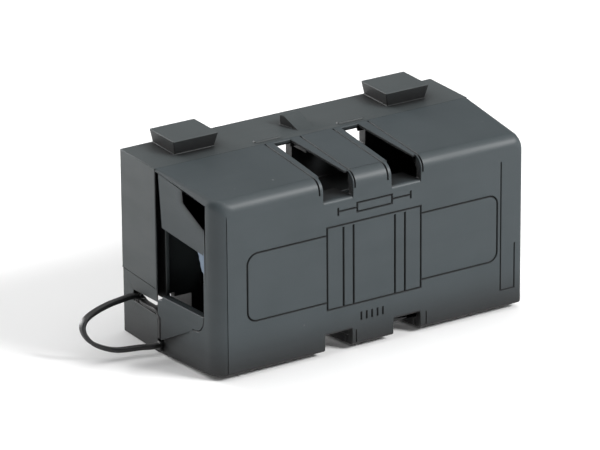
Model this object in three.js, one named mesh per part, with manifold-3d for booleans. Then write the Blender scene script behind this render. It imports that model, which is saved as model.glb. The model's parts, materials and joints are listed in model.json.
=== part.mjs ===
// Bolt-down fuse holder for one strip fuse, lying on its long side wall.
//
// A moulded base carries two M5 studs 30 mm apart, a contact plate on each, and a strip fuse clamped
// under washers and nuts. A deep tapering cover closes over them along Y, and a moulded strap keeps
// the cover with the base. Holders join side by side by dovetail tabs in grooves.
//
// Millimetres, +Z up. Origin: centre of the base's flat mounting face, which looks along +Y.
// The cover's large face looks along -Y, and the open cable entry is at the -X end.

import * as THREE from 'three';
import { mergeVertices } from 'three/addons/utils/BufferGeometryUtils.js';
import Module from 'manifold-3d';

// ---------------------------------------------------------------- driving dimensions
const LENGTH = 75;               // along X
const WIDTH = 39.6;              // along Z
const BASE_DEPTH = 13.5;         // mounting face to seam
const COVER_DEPTH = 20.75;       // seam to large front face
const WALL = 1.7;                // cover wall
const BASE_WALL = 2;
const GAP = 0.3;                 // between a piece and the one it slides or lies in
const SEAT_GAP = 0.05;           // between pieces clamped on each other

const COVER_TAPER = { left: 1.8, right: 0.3, top: 1.65, bottom: 1.05 };   // draft over COVER_DEPTH
const COVER_EDGE = 2.4;          // rounding of the cover's upper and left edges at the front
const COVER_FOOT_EDGE = 0.7;     // rounding of its lower and right edges at the front

const STUD_SPACING = 30;
const STUD_RADIUS = 2.5;
const STUD_END = -28;            // y of the studs' free ends
const DECK = { back: -8, front: -10.5 };     // y of the plate that carries the studs
const SEAT = -12;                // y of the raised seats round the studs
const NUT_ACROSS_FLATS = 8;
const NUT_HEIGHT = 4;
const HOLE_RADIUS = STUD_RADIUS + 0.2;
const STUD_HEAD = { back: -0.9, front: -4.4 };    // hexagon head, pressed into the back of its boss
const BOSS_RADIUS = { centre: 5, stud: 7, sleeve: 6 };
const SLEEVE_RADIUS = { outer: 4, inner: 2.75 };
const BACK_RIB = { x: 25.5, half: 0.8, middleHalf: 1.2 };   // stiffening ribs in the hollow back
const LIP = { thickness: 1.2, height: 2.5 };      // rim of the base that enters the cover
const BARRIER = { x: 24.6, z: 11.5, half: 0.8, reach: 3.5 };   // between the terminals and the cable ways
const CABLE_WAY = { half: 9.5, depth: 2 };        // gap in the lip behind each cable entry

// Slots run from near the seam to the front face, in the upper wall and in the lower one. Each entry
// gives the left and right edges from the slot's centre line, at its back, its front and its mouth.
const SLOT_EDGES = { back: [-2.35, 1.7], front: [-2.85, 3.2] };
const UPPER_SLOTS = { side: 1, centres: [-7.6, 8.6], mouth: [-3.3, 3.75], sill: 13.6 };
const LOWER_SLOTS = { side: -1, centres: [-7.35, 9.05], mouth: [-3.25, 3.25], sill: -15.35 };
const BRIDGE = { length: 0.65, thickness: 0.85 };   // strip of cover left between a slot and the seam
const RIB = { thickness: 1.1, depth: 4.2, back: 3.2 };   // walls that hang inside the cover beside each slot
const LATCH_WINDOW = { centres: [-7.6, 10.2], half: 4.3, inner: 13.2, wall: 1.3, end: 4 };
const CRADLE = { z: [7.3, 8.5], half: 24, end: -19.5 };   // walls of the base on both sides of the fuse

const DOVETAIL = { x: 25.4, top: 10.6, foot: 9.2, height: 3, back: -0.2, front: -9.6, lean: 0.6 };
const GROOVE_WALL = { half: 7, proud: 0.5, inner: 3.9 };   // thick wall that holds a neighbour's dovetail
const RAMP = { back: -5.6, front: -11, height: 2.1, flat: 1.2, backX: [-3.2, 1.1], frontX: [-2.1, 1.6] };

const CABLE = { bottom: -7.05, topSeam: 8.1, topInner: 6.45, depth: 15.95 };   // open cable entry
const LEAD_GAP = { edge: 1.2, middle: 2 };   // gap at the end walls, between base and cover
const STRAP_RADIUS = 0.5;
const STRAP_NOTCH = { bottom: -11.8, top: -8.8, depth: 9.45 };
const CORNER_RELIEF = { length: 8, top: -10.1 };   // open corner of the deck behind the strap's notch

// ---------------------------------------------------------------- derived places
const HALF_LENGTH = LENGTH / 2;
const HALF_WIDTH = WIDTH / 2;
const SEAM = -BASE_DEPTH;
const FRONT = SEAM - COVER_DEPTH;
const STUDS = { left: -STUD_SPACING / 2, right: STUD_SPACING / 2 };
const SLEEVES = { left: [-28.5, 11.2], right: [28.5, -10.3] };   // x, z of the mounting holes

const wasm = await Module();
wasm.setup();

// ---------------------------------------------------------------- shapes
const along = {
  x: new THREE.Matrix4().makeBasis(vec(0, 1, 0), vec(0, 0, 1), vec(1, 0, 0)),
  y: new THREE.Matrix4().makeBasis(vec(1, 0, 0), vec(0, 0, 1), vec(0, -1, 0)),
  z: new THREE.Matrix4(),   // unchanged: a shape is drawn in (x, y)
};

function vec(x, y, z) {
  return new THREE.Vector3(x, y, z);
}

function box([x0, x1], [y0, y1], [z0, z1]) {
  const geometry = new THREE.BoxGeometry(Math.abs(x1 - x0), Math.abs(y1 - y0), Math.abs(z1 - z0));
  return geometry.translate((x0 + x1) / 2, (y0 + y1) / 2, (z0 + z1) / 2);
}

// An outline whose corners [a, b, radius] are rounded where they state a radius.
function outline(corners) {
  const shape = new THREE.Shape();
  corners.forEach(([a, b, radius = 0], i) => {
    const corner = new THREE.Vector2(a, b);
    const [before, after] = [corners.at(i - 1), corners[(i + 1) % corners.length]]
      .map(([c, d]) => new THREE.Vector2(c, d).sub(corner).normalize());
    const reach = radius / Math.tan(Math.acos(before.dot(after)) / 2);
    const start = corner.clone().addScaledVector(before, reach);
    const end = corner.clone().addScaledVector(after, reach);
    if (i === 0) shape.moveTo(start.x, start.y);
    else shape.lineTo(start.x, start.y);
    if (radius) shape.quadraticCurveTo(corner.x, corner.y, end.x, end.y);
  });
  shape.closePath();
  return shape;
}

// A straight bar of one section. Along X the section is (y, z), along Y (x, z) and along Z (x, y).
function bar(shape, axis, from, to) {
  const low = Math.min(from, to);
  const depth = Math.abs(to - from);
  const geometry = new THREE.ExtrudeGeometry(shape, { depth, bevelEnabled: false, curveSegments: 6 });
  geometry.applyMatrix4(along[axis]);
  const start = { x: vec(low, 0, 0), y: vec(0, low + depth, 0), z: vec(0, 0, low) }[axis];
  return geometry.translate(start.x, start.y, start.z);
}

function rod(radius, x, z, from, to, sides = 28) {
  const geometry = new THREE.CylinderGeometry(radius, radius, Math.abs(to - from), sides);
  return geometry.translate(x, (from + to) / 2, z);
}

function hexagon(acrossFlats, x, z, from, to) {
  return rod(acrossFlats / Math.sqrt(3), x, z, from, to, 6);
}

// A washer or sleeve about Y: a rectangle turned round the axis.
function ring(outer, inner, x, z, from, to) {
  const [low, high] = [Math.min(from, to), Math.max(from, to)];
  const section = [[inner, low], [outer, low], [outer, high], [inner, high], [inner, low]];
  return new THREE.LatheGeometry(section.map(([r, y]) => new THREE.Vector2(r, y)), 36).translate(x, 0, z);
}

// ---------------------------------------------------------------- joining and cutting
function solid(geometry) {
  const bare = geometry.clone();
  bare.deleteAttribute('normal');
  bare.deleteAttribute('uv');
  const merged = mergeVertices(bare.index ? bare : mergeVertices(bare), 1e-5);
  const vertProperties = new Float32Array(merged.attributes.position.array);
  const triVerts = new Uint32Array(merged.index.array);
  return new wasm.Manifold(new wasm.Mesh({ numProp: 3, vertProperties, triVerts }));
}

function carve(first, { add = [], cut = [], within = [] }) {
  let result = solid(first);
  for (const geometry of within) result = result.intersect(solid(geometry));
  for (const geometry of add) result = result.add(solid(geometry));
  for (const geometry of cut) result = result.subtract(solid(geometry));
  const { vertProperties, triVerts } = result.getMesh();
  const geometry = new THREE.BufferGeometry();
  geometry.setAttribute('position', new THREE.BufferAttribute(vertProperties, 3));
  geometry.setIndex(new THREE.BufferAttribute(triVerts, 1));
  geometry.computeVertexNormals();
  return geometry;
}

// ---------------------------------------------------------------- base
// Section (x, z) of a dovetail that stands on z = bottom and reaches a little below it.
function dovetail(centre, bottom, grow) {
  const foot = DOVETAIL.foot / 2 + grow;
  const top = DOVETAIL.top / 2 + grow;
  const height = DOVETAIL.height + grow;
  return outline([[centre - foot, bottom - 1], [centre + foot, bottom - 1], [centre + foot, bottom],
    [centre + top, bottom + height], [centre - top, bottom + height], [centre - foot, bottom]]);
}

// The tab's front end leans out over the side wall.
function dovetailTab(centre) {
  const { back, front, lean, height } = DOVETAIL;
  const foot = front + lean;
  const side = outline([[back, HALF_WIDTH - 1], [back, HALF_WIDTH + height], [front, HALF_WIDTH + height],
    [foot, HALF_WIDTH], [foot, HALF_WIDTH - 1]]);
  return carve(bar(dovetail(centre, HALF_WIDTH, 0), 'y', back, front), {
    within: [bar(side, 'x', -HALF_LENGTH, HALF_LENGTH)],
  });
}

function lockRamp() {
  const z = HALF_WIDTH - 1;
  const plan = [[RAMP.backX[0], RAMP.back], [RAMP.frontX[0], RAMP.front],
    [RAMP.frontX[1], RAMP.front], [RAMP.backX[1], RAMP.back]];
  const side = [[RAMP.back, z], [RAMP.back, HALF_WIDTH + RAMP.height],
    [RAMP.back - RAMP.flat, HALF_WIDTH + RAMP.height], [RAMP.front, HALF_WIDTH], [RAMP.front, z]];
  return { plan: bar(outline(plan), 'z', z, HALF_WIDTH + RAMP.height), side: bar(outline(side), 'x', -5, 5) };
}

// Light and the cover's latches pass here: the side wall is thinned and the deck is open under each slot.
function latchWindow(centre, side) {
  const { half, inner, wall, end } = LATCH_WINDOW;
  return box([centre - half, centre + half], [1, SEAM - end], [side * inner, side * (HALF_WIDTH - wall)]);
}

function base() {
  const inside = HALF_LENGTH - BASE_WALL;
  const insideZ = HALF_WIDTH - BASE_WALL;
  const lip = { x: HALF_LENGTH - WALL - GAP, z: HALF_WIDTH - WALL - GAP };
  const ramp = lockRamp();
  const windows = [];
  const add = [];
  const cut = [];
  for (const side of [-1, 1]) {
    windows.push(...LATCH_WINDOW.centres.map((centre) => latchWindow(centre, side)));
    const cradle = CRADLE.z.map((z) => side * z);
    add.push(box([-CRADLE.half, CRADLE.half], [DECK.front + 0.5, CRADLE.end], cradle));
  }

  // Hollow back, with ribs and bosses, all flush with the mounting face.
  cut.push(box([-inside, inside], [1, DECK.back], [-insideZ, insideZ]));
  cut.push(box([-inside, inside], [DECK.front, SEAM - 10], [-insideZ, insideZ]));
  const { middleHalf } = BACK_RIB;
  add.push(box([-inside - 1, inside + 1], [0, DECK.front], [-middleHalf, middleHalf]));
  for (const x of [-BACK_RIB.x, BACK_RIB.x]) {
    const span = [x - BACK_RIB.half, x + BACK_RIB.half];
    add.push(box(span, [0, DECK.front], [-insideZ - 1, insideZ + 1]));
  }
  add.push(rod(BOSS_RADIUS.centre, 0, 0, 0, DECK.front));
  for (const x of Object.values(STUDS)) add.push(rod(BOSS_RADIUS.stud, x, 0, 0, SEAT));
  for (const [x, z] of Object.values(SLEEVES)) add.push(rod(BOSS_RADIUS.sleeve, x, z, 0, DECK.front));

  // Lip that enters the cover, and barriers between the terminals and the fuse's body.
  const lipBack = DECK.front + 1;
  const lipFront = SEAM - LIP.height;
  add.push(carve(box([-lip.x, lip.x], [lipBack, lipFront], [-lip.z, lip.z]), {
    cut: [box([-lip.x + LIP.thickness, lip.x - LIP.thickness], [0, FRONT],
      [-lip.z + LIP.thickness, lip.z - LIP.thickness])],
  }));
  const { half, reach } = BARRIER;
  for (const x of [-BARRIER.x, BARRIER.x]) {
    for (const z of [-BARRIER.z, BARRIER.z]) {
      add.push(box([x - half, x + half], [DECK.front + 0.5, SEAM], [z - reach, z + reach]));
    }
  }

  // Outside: dovetail tabs above, the thickened wall for their grooves below, and the lock ramp.
  for (const side of [-1, 1]) {
    const x = side * DOVETAIL.x;
    const span = [x - GROOVE_WALL.half, x + GROOVE_WALL.half];
    const wall = [-HALF_WIDTH + GROOVE_WALL.proud, -HALF_WIDTH + GROOVE_WALL.inner];
    add.push(dovetailTab(x));
    add.push(box(span, [0, DECK.back - 1], wall));
  }
  add.push(carve(ramp.plan, { within: [ramp.side] }));

  const studHoles = Object.values(STUDS).flatMap((x) => [
    rod(STUD_RADIUS + 0.1, x, 0, 1, SEAT - 1),
    hexagon(NUT_ACROSS_FLATS + 0.4, x, 0, 1, STUD_HEAD.front - 0.1),
  ]);
  const sleeveHoles = Object.values(SLEEVES).map(([x, z]) =>
    rod(SLEEVE_RADIUS.outer + 0.1, x, z, 1, DECK.front - 1));
  const grooves = [-1, 1].map((side) =>
    bar(dovetail(side * DOVETAIL.x, -HALF_WIDTH, 0.15), 'y', 1, DOVETAIL.front - 0.4));
  const strapNotch = box([-HALF_LENGTH - 1, -inside + 4], [SEAM - 4, SEAM + STRAP_NOTCH.depth],
    [STRAP_NOTCH.bottom, STRAP_NOTCH.top]);
  const cornerRelief = box([-inside, -inside + CORNER_RELIEF.length], [DECK.back + 1, SEAM - 4],
    [-insideZ, CORNER_RELIEF.top]);
  const cableWays = [-1, 1].map((side) =>
    box([side * (inside - CABLE_WAY.depth), side * (HALF_LENGTH - WALL + 0.1)], [SEAM - 0.01, FRONT],
      [-CABLE_WAY.half, CABLE_WAY.half]));

  const hollow = carve(box([-HALF_LENGTH, HALF_LENGTH], [0, SEAM], [-HALF_WIDTH, HALF_WIDTH]), { cut });
  return carve(hollow, {
    add,
    cut: [...windows, ...studHoles, ...sleeveHoles, ...grooves, strapNotch, cornerRelief, ...cableWays],
  });
}

// ---------------------------------------------------------------- cover
// The cover's tapering outside, or with an inset its hollow, from y = back to the front face.
function coverBody(inset, back) {
  const front = FRONT + inset;
  const edge = Math.max(COVER_EDGE - inset, 0.6);
  const foot = Math.max(COVER_FOOT_EDGE - inset, 0.2);
  const wall = (size, taper, y) => size - inset - taper * (SEAM - y) / COVER_DEPTH;
  const { left, right, top, bottom } = COVER_TAPER;
  const side = outline([
    [back, -wall(HALF_WIDTH, bottom, back)], [back, wall(HALF_WIDTH, top, back)],
    [front, wall(HALF_WIDTH, top, front), edge], [front, -wall(HALF_WIDTH, bottom, front), foot]]);
  const plan = outline([
    [-wall(HALF_LENGTH, left, back), back], [-wall(HALF_LENGTH, left, front), front, edge],
    [wall(HALF_LENGTH, right, front), front, foot], [wall(HALF_LENGTH, right, back), back]]);
  const reach = HALF_LENGTH + 5;
  return carve(bar(side, 'x', -reach, reach), { within: [bar(plan, 'z', -reach, reach)] });
}

// A slot widens from the seam to the front face and runs down that face to a sill. At its back a thin
// bridge of the wall is left over it, against the seam.
function slotOpening({ side, mouth, sill }, centre) {
  const surface = side * (HALF_WIDTH + 1);
  const back = SEAM - BRIDGE.length;
  const [left, right] = [0, 1].map((i) => ({
    back: centre + SLOT_EDGES.back[i], front: centre + SLOT_EDGES.front[i], mouth: centre + mouth[i],
  }));
  const plan = outline([[left.back, back], [right.back, back], [right.front, FRONT + COVER_EDGE],
    [right.mouth, FRONT - 1], [left.mouth, FRONT - 1], [left.front, FRONT + COVER_EDGE]]);
  return [
    bar(plan, 'z', side * (HALF_WIDTH - WALL - 2), surface),
    box([left.mouth, right.mouth], [FRONT - 1, FRONT + WALL + 0.6], [sill, surface]),
    box([left.back, right.back], [back - 1, SEAM + 1], [side * (HALF_WIDTH - WALL - 2),
      side * (HALF_WIDTH - BRIDGE.thickness)]),
  ];
}

function slotRibs({ side, mouth }, centre) {
  const z = [side * (HALF_WIDTH - 1), side * (HALF_WIDTH - WALL - RIB.depth)];
  return [-1, 1].map((hand, i) => {
    const near = centre + SLOT_EDGES.back[i] + hand * GAP;
    const far = centre + mouth[i] + hand * GAP;
    const thick = hand * RIB.thickness;
    const start = SEAM - RIB.back;
    const plan = outline([[near, start], [far, FRONT + 1], [far + thick, FRONT + 1], [near + thick, start]]);
    return bar(plan, 'z', ...z);
  });
}

// The open cable entry: its upper edge slopes, and a torn corner of the knock-out is left standing.
function cableEntry() {
  const inner = SEAM - CABLE.depth;
  const entry = outline([[SEAM + 1, CABLE.bottom], [SEAM + 1, CABLE.topSeam], [inner + 1.9, CABLE.topInner],
    [inner + 0.7, 2.9], [inner, 2.9], [inner, CABLE.bottom]]);
  return bar(entry, 'x', -HALF_LENGTH - 1, -HALF_LENGTH + 6);
}

// The cover's end walls stop short of the base, most of all beside the cable entries.
function endRelief(hand) {
  const middle = SEAM - LEAD_GAP.middle;
  const edge = SEAM - LEAD_GAP.edge;
  const [low, high] = [-HALF_WIDTH + 1, HALF_WIDTH - 0.6];
  const relief = outline([[SEAM + 1, low], [SEAM + 1, high], [edge, high], [middle, CABLE.topSeam],
    [middle, -HALF_WIDTH + 4], [middle, low]]);
  return bar(relief, 'x', hand * (HALF_LENGTH - 1.9), hand * (HALF_LENGTH + 1));
}

// Scored outline of the knock-out on the closed end.
function scoreLine() {
  const inner = SEAM - CABLE.depth;
  const frame = outline([[SEAM - 1, CABLE.bottom], [SEAM - 1, CABLE.topSeam], [inner, CABLE.topSeam, 2],
    [inner, CABLE.bottom, 2]]);
  const middle = outline([[SEAM - 0.9, CABLE.bottom + 0.5], [SEAM - 0.9, CABLE.topSeam - 0.5],
    [inner + 0.5, CABLE.topSeam - 0.5, 1.6], [inner + 0.5, CABLE.bottom + 0.5, 1.6]]);
  const reach = [HALF_LENGTH - 1.15, HALF_LENGTH + 1];
  return carve(bar(frame, 'x', ...reach), { cut: [bar(middle, 'x', HALF_LENGTH - 3, HALF_LENGTH + 3)] });
}

function cover() {
  const slots = [UPPER_SLOTS, LOWER_SLOTS].flatMap((row) => row.centres.map((centre) => [row, centre]));
  const shell = carve(coverBody(0, SEAM - SEAT_GAP), { cut: [coverBody(WALL, SEAM + 5)] });
  const ribs = slots.flatMap(([row, centre]) => slotRibs(row, centre));
  const ribbed = carve(shell, {
    add: ribs.map((rib) => carve(rib, { within: [coverBody(0.4, SEAM)] })),
  });
  return carve(ribbed, {
    cut: [...slots.flatMap(([row, centre]) => slotOpening(row, centre)),
      cableEntry(), endRelief(-1), endRelief(1), scoreLine()],
  });
}

// ---------------------------------------------------------------- strap
// Both ends of the strap grow from the cover's lower corner. One run loops out past the end wall and
// back into the notch in the base; the other lies along the notch and down the seam.
function strap() {
  const inWall = -HALF_LENGTH + 0.45;
  const seamRun = SEAM - 0.75;
  const notchRun = STRAP_NOTCH.bottom + 0.15 + STRAP_RADIUS;
  const route = [
    vec(inWall, seamRun, -17.9), vec(-39.1, SEAM - 0.6, -17.95), vec(-41.5, SEAM + 0.2, -17.9),
    vec(-46, SEAM + 1.2, -17.75), vec(-49.1, SEAM + 1.8, -16.75), vec(-51.3, SEAM + 2.4, -15.4),
    vec(-52.5, SEAM + 3, -13.8), vec(-52.7, SEAM + 3.6, -12.2), vec(-51.6, SEAM + 4.2, -10.9),
    vec(-48.9, SEAM + 5, -10.1), vec(-45.4, SEAM + 5.8, -9.65), vec(-42.2, SEAM + 6.5, -9.6),
    vec(-39.5, SEAM + 7.2, -9.7), vec(-38, SEAM + 7.7, -10.1), vec(inWall, SEAM + 7.6, notchRun + 0.5),
    vec(inWall, SEAM + 6, notchRun), vec(inWall, SEAM + 3, notchRun), vec(inWall, SEAM + 0.4, notchRun),
    vec(inWall, seamRun, notchRun - 1.1), vec(inWall, seamRun, -14), vec(inWall, seamRun, -16.6),
  ];
  const section = new THREE.Shape();
  section.absarc(0, 0, STRAP_RADIUS, 0, 2 * Math.PI);
  const extrudePath = new THREE.CatmullRomCurve3(route, false, 'centripetal');
  return new THREE.ExtrudeGeometry(section, { steps: 78, curveSegments: 4, extrudePath });
}

// ---------------------------------------------------------------- studs, plates, washers, nuts
const PLATE = { back: SEAT - SEAT_GAP, thickness: 1.5, half: 6.9 };
const FUSE_TAB = { back: PLATE.back - PLATE.thickness - SEAT_GAP, thickness: 0.8 };
const WASHER = { back: FUSE_TAB.back - FUSE_TAB.thickness - SEAT_GAP, thickness: 1, radius: 5 };
const SPRING = { back: WASHER.back - WASHER.thickness - SEAT_GAP, thickness: 1.2, radius: 4.3 };
const NUT_BACK = SPRING.back - SPRING.thickness - SEAT_GAP;

function stud(x) {
  return carve(rod(STUD_RADIUS, x, 0, -1.5, STUD_END + 0.6), {
    add: [hexagon(NUT_ACROSS_FLATS, x, 0, STUD_HEAD.back, STUD_HEAD.front),
      new THREE.CylinderGeometry(STUD_RADIUS, STUD_RADIUS - 0.6, 0.61, 28).translate(x, STUD_END + 0.3, 0)],
  });
}

function contactPlate(x) {
  const { half, back, thickness } = PLATE;
  const plate = outline([[x - half, -half, 1], [x + half, -half, 1], [x + half, half, 1], [x - half, half, 1]]);
  return carve(bar(plate, 'y', back, back - thickness), { cut: [rod(HOLE_RADIUS, x, 0, 0, FRONT)] });
}

function nut(x) {
  const chamfer = new THREE.CylinderGeometry(5.6, 4.05, 1.55, 36);
  const top = NUT_BACK - NUT_HEIGHT;
  chamfer.translate(x, top + 0.775, 0);
  const blank = rod(5.6, x, 0, NUT_BACK, top + 1.5, 36);
  return carve(hexagon(NUT_ACROSS_FLATS, x, 0, NUT_BACK, top), {
    within: [carve(blank, { add: [chamfer] })],
    cut: [rod(STUD_RADIUS + 0.1, x, 0, 0, FRONT)],
  });
}

// A split lock washer: the ring has one slanting cut.
function springWasher(x) {
  const { radius, back, thickness } = SPRING;
  const split = box([-0.35, 0.35], [-2, 2], [1, 6]).rotateZ(0.5).translate(x, back - thickness / 2, 0);
  return carve(ring(radius, HOLE_RADIUS, x, 0, back, back - thickness), { cut: [split] });
}

// ---------------------------------------------------------------- fuse
const FUSE = { tabHalf: 20.5, tabWidth: 5.5, bodyHalf: 7.6, bodyWidth: 6.2, bodyEnd: -19.6, neck: 2.2 };
const RIVETS = [[-5.2, 4.3], [5.2, -4.3]];
const RIVET_RADIUS = 0.9;

function fuseElement() {
  const { tabHalf, tabWidth, neck } = FUSE;
  const neckHalf = 6.6;
  const strip = outline([[-tabHalf, -tabWidth, 1.5], [-neckHalf, -tabWidth], [-neckHalf, -neck],
    [neckHalf, -neck], [neckHalf, -tabWidth], [tabHalf, -tabWidth, 1.5], [tabHalf, tabWidth, 1.5],
    [neckHalf, tabWidth], [neckHalf, neck], [-neckHalf, neck], [-neckHalf, tabWidth],
    [-tabHalf, tabWidth, 1.5]]);
  const { back, thickness } = FUSE_TAB;
  const holes = Object.values(STUDS).map((x) => rod(HOLE_RADIUS, x, 0, 0, FRONT));
  return carve(bar(strip, 'y', back, back - thickness), { cut: holes });
}

function fuseBodyHalf(from, to, extra) {
  const { bodyHalf, bodyWidth } = FUSE;
  const block = outline([[-bodyHalf, -bodyWidth, 0.8], [bodyHalf, -bodyWidth, 0.8],
    [bodyHalf, bodyWidth, 0.8], [-bodyHalf, bodyWidth, 0.8]]);
  const holes = RIVETS.map(([x, z]) => rod(RIVET_RADIUS + 0.1, x, z, 0, FRONT, 16));
  return carve(bar(block, 'y', from, to), { cut: [...holes, ...extra] });
}

const fuseBodyLower = () => fuseBodyHalf(DECK.front - GAP, FUSE_TAB.back + SEAT_GAP, []);

function fuseBodyUpper() {
  const start = FUSE_TAB.back - FUSE_TAB.thickness - SEAT_GAP;
  const window = box([-3.2, 3.2], [FUSE.bodyEnd - 1, FUSE.bodyEnd + 1], [-2.6, 2.6]);
  const sight = box([-2.4, 2.4], [start + 1, FUSE.bodyEnd], [-1.8, 1.8]);
  return fuseBodyHalf(start, FUSE.bodyEnd, [window, sight]);
}

function fuseWindow() {
  return box([-3, 3], [FUSE.bodyEnd + 0.1, FUSE.bodyEnd + 0.9], [-2.4, 2.4]);
}

function fuseRivet([x, z]) {
  const start = DECK.front - GAP - 0.2;
  return rod(RIVET_RADIUS, x, z, start, FUSE.bodyEnd - 0.1, 16);
}

const mountingSleeve = ([x, z]) => ring(SLEEVE_RADIUS.outer, SLEEVE_RADIUS.inner, x, z, 0, DECK.front - 0.1);

// ---------------------------------------------------------------- materials
function finish(color, roughness, metalness = 0) {
  return new THREE.MeshStandardMaterial({ color, roughness, metalness });
}

const MATERIALS = {
  housing: finish(0x2f3438, 0.5),
  strap: finish(0x17191b, 0.4),
  steel: finish(0xb9bcc0, 0.35, 1),
  copper: finish(0xc9c4b8, 0.35, 1),
  fuse: finish(0xa8452c, 0.45),
  window: finish(0xdfe6ea, 0.1),
  brass: finish(0xb8995a, 0.4, 1),
};

// ---------------------------------------------------------------- assembly
const holder = new THREE.Group();

function part(name, geometry, material) {
  const mesh = new THREE.Mesh(geometry, MATERIALS[material]);
  mesh.name = name;
  holder.add(mesh);
}

part('base', base(), 'housing');
part('cover', cover(), 'housing');
part('strap', strap(), 'strap');
for (const [hand, x] of Object.entries(STUDS)) {
  part(`stud_${hand}`, stud(x), 'steel');
  part(`contact_plate_${hand}`, contactPlate(x), 'copper');
  const { radius, back, thickness } = WASHER;
  part(`flat_washer_${hand}`, ring(radius, HOLE_RADIUS, x, 0, back, back - thickness), 'steel');
  part(`spring_washer_${hand}`, springWasher(x), 'steel');
  part(`nut_${hand}`, nut(x), 'steel');
}
part('fuse_element', fuseElement(), 'copper');
part('fuse_body_lower', fuseBodyLower(), 'fuse');
part('fuse_body_upper', fuseBodyUpper(), 'fuse');
part('fuse_window', fuseWindow(), 'window');
RIVETS.forEach((place, i) => part(`fuse_rivet_${i + 1}`, fuseRivet(place), 'steel'));
for (const [hand, place] of Object.entries(SLEEVES)) {
  part(`mounting_sleeve_${hand}`, mountingSleeve(place), 'brass');
}

export default holder;
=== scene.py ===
# %% [markdown]
# # A bolt-down fuse holder, closed and lying on its long side
#
# A moulded base carries two studs and a strip fuse. A deep, slotted cover is pushed over them, and a
# thin moulded strap keeps the cover with the base. The engineering model (the CAD frame) says where
# everything is and how it moves. This script builds the looks around it, piece by piece.
#
# Every piece is drawn in millimetres, because moulded detail is small, and is scaled to metres when it
# is put on its body.

import json
import math

import bmesh
import bpy
from mathutils import Matrix, Vector

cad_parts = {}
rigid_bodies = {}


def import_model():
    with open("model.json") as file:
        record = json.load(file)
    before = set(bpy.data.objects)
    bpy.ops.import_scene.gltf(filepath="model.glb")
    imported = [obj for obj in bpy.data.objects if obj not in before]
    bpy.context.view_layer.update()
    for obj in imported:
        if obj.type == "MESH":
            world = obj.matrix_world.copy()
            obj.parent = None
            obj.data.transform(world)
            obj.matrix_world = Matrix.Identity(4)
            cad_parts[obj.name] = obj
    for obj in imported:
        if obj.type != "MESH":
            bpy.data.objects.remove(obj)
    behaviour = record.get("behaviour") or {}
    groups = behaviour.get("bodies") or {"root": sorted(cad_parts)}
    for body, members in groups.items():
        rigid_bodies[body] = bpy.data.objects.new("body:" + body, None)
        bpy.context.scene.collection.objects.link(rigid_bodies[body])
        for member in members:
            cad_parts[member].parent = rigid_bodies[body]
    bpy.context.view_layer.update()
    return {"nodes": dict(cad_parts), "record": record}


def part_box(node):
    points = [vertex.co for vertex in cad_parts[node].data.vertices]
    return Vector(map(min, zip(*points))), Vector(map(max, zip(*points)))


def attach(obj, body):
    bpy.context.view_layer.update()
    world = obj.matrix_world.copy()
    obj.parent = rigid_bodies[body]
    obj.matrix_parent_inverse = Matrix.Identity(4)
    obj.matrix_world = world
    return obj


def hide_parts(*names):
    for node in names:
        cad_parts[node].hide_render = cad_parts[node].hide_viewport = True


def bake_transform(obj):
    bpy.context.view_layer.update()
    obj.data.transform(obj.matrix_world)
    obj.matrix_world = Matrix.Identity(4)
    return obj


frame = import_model()

# %% [markdown]
# ## Measures
#
# The main faces are read from the frame, so the looks stay on the engineering model: X is the length,
# Y falls from the mounting face (0) through the seam to the front face, and Z is up. The cover stops a
# hair short of the base, so the seam lies that seat gap behind the cover's back.

# %% Measures from the frame, in millimetres
MM = 0.001


def node_box(node):
    low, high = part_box(node)
    return low / MM, high / MM


BASE_LOW, BASE_HIGH = node_box("base")
COVER_LOW, COVER_HIGH = node_box("cover")
HALF_LENGTH = BASE_HIGH.x
HALF_WIDTH = -BASE_LOW.z
SEAT_GAP = 0.05
SEAM = COVER_HIGH.y + SEAT_GAP
FRONT = COVER_LOW.y
COVER_DEPTH = SEAM - FRONT
WALL = 1.7
print(f"half length {HALF_LENGTH:.2f}, half width {HALF_WIDTH:.2f}, seam {SEAM:.2f}, front {FRONT:.2f}")

# %% [markdown]
# ## Drawing tools
#
# A mould maker's shapes are mostly straight bars of one outline with rounded corners, cut into each
# other. `prism` makes such a bar along any axis, and `carve` joins and cuts with Blender's exact
# boolean, which keeps flat faces flat. `soften` then rounds the sharp edges, and only fine engraving
# comes after it.

# %% Outlines and bars


def rounded(corners, steps=6):
    """Outline through corners (a, b) or (a, b, radius), each rounded by a true arc."""
    points = []
    count = len(corners)
    for i, corner in enumerate(corners):
        here = Vector(corner[:2])
        radius = corner[2] if len(corner) > 2 else 0
        if not radius:
            points.append(here)
            continue
        before = (Vector(corners[i - 1][:2]) - here).normalized()
        after = (Vector(corners[(i + 1) % count][:2]) - here).normalized()
        half = before.angle(after) / 2
        centre = here + (before + after).normalized() * (radius / math.sin(half))
        start = here + before * (radius / math.tan(half)) - centre
        end = here + after * (radius / math.tan(half)) - centre
        sweep = math.pi - 2 * half
        for k in range(steps + 1):
            share = k / steps
            spoke = (start * math.sin((1 - share) * sweep) + end * math.sin(share * sweep)) / math.sin(sweep)
            points.append(centre + spoke)
    return points


def new_piece(name, verts, faces):
    """Mesh object whose faces all point out."""
    mesh = bpy.data.meshes.new(name)
    mesh.from_pydata([tuple(v) for v in verts], [], faces)
    shaper = bmesh.new()
    shaper.from_mesh(mesh)
    bmesh.ops.recalc_face_normals(shaper, faces=shaper.faces)
    shaper.to_mesh(mesh)
    shaper.free()
    piece = bpy.data.objects.new(name, mesh)
    bpy.context.scene.collection.objects.link(piece)
    return piece


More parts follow.
